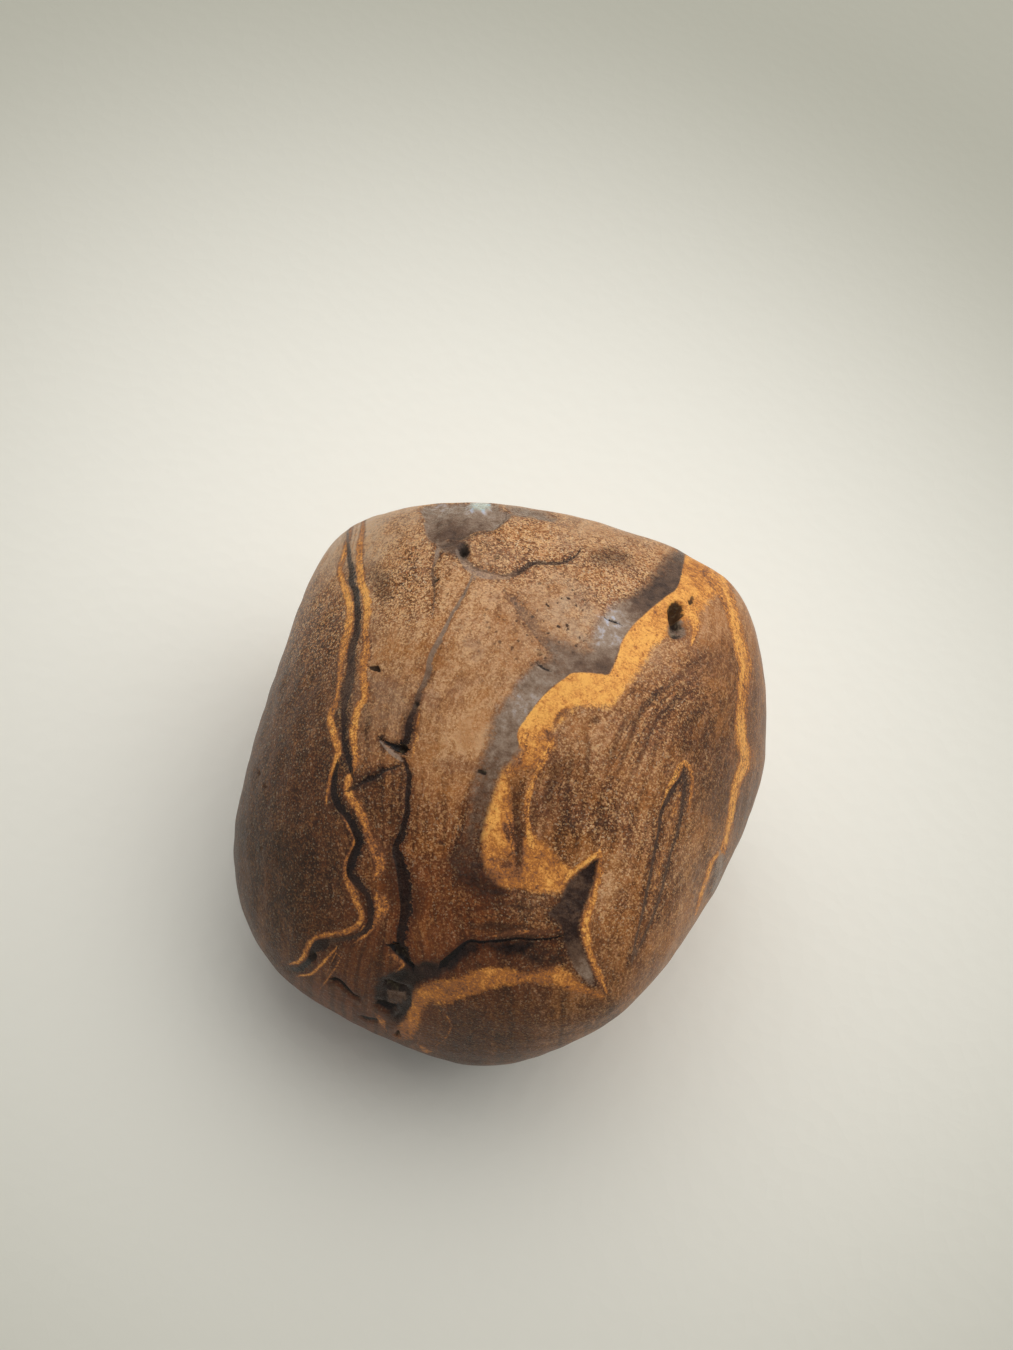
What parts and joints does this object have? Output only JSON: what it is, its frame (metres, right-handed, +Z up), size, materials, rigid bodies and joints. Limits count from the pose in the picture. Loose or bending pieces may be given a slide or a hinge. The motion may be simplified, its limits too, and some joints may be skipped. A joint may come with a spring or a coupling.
{
  "type": "boulder opal pebble",
  "caption": "Tumbled pebble of boulder opal matrix: a rounded block of banded brown ironstone with ochre bands, dark veins and small pits, lying on a flat patch.",
  "frame": {"origin": "middle of the box of the stone, at the height of the flat patch it rests on", "axes": "+Z up, -Y towards the banded face that is meant to be seen, +X to its right"},
  "size_m": [0.034, 0.0354, 0.0275],
  "materials": {
    "ironstone": "tumbled to a satin polish, sandy grain, ochre bands and dark veins"
  },
  "bodies": {
    "root": {"stone": "ironstone"}
  },
  "joints": []
}
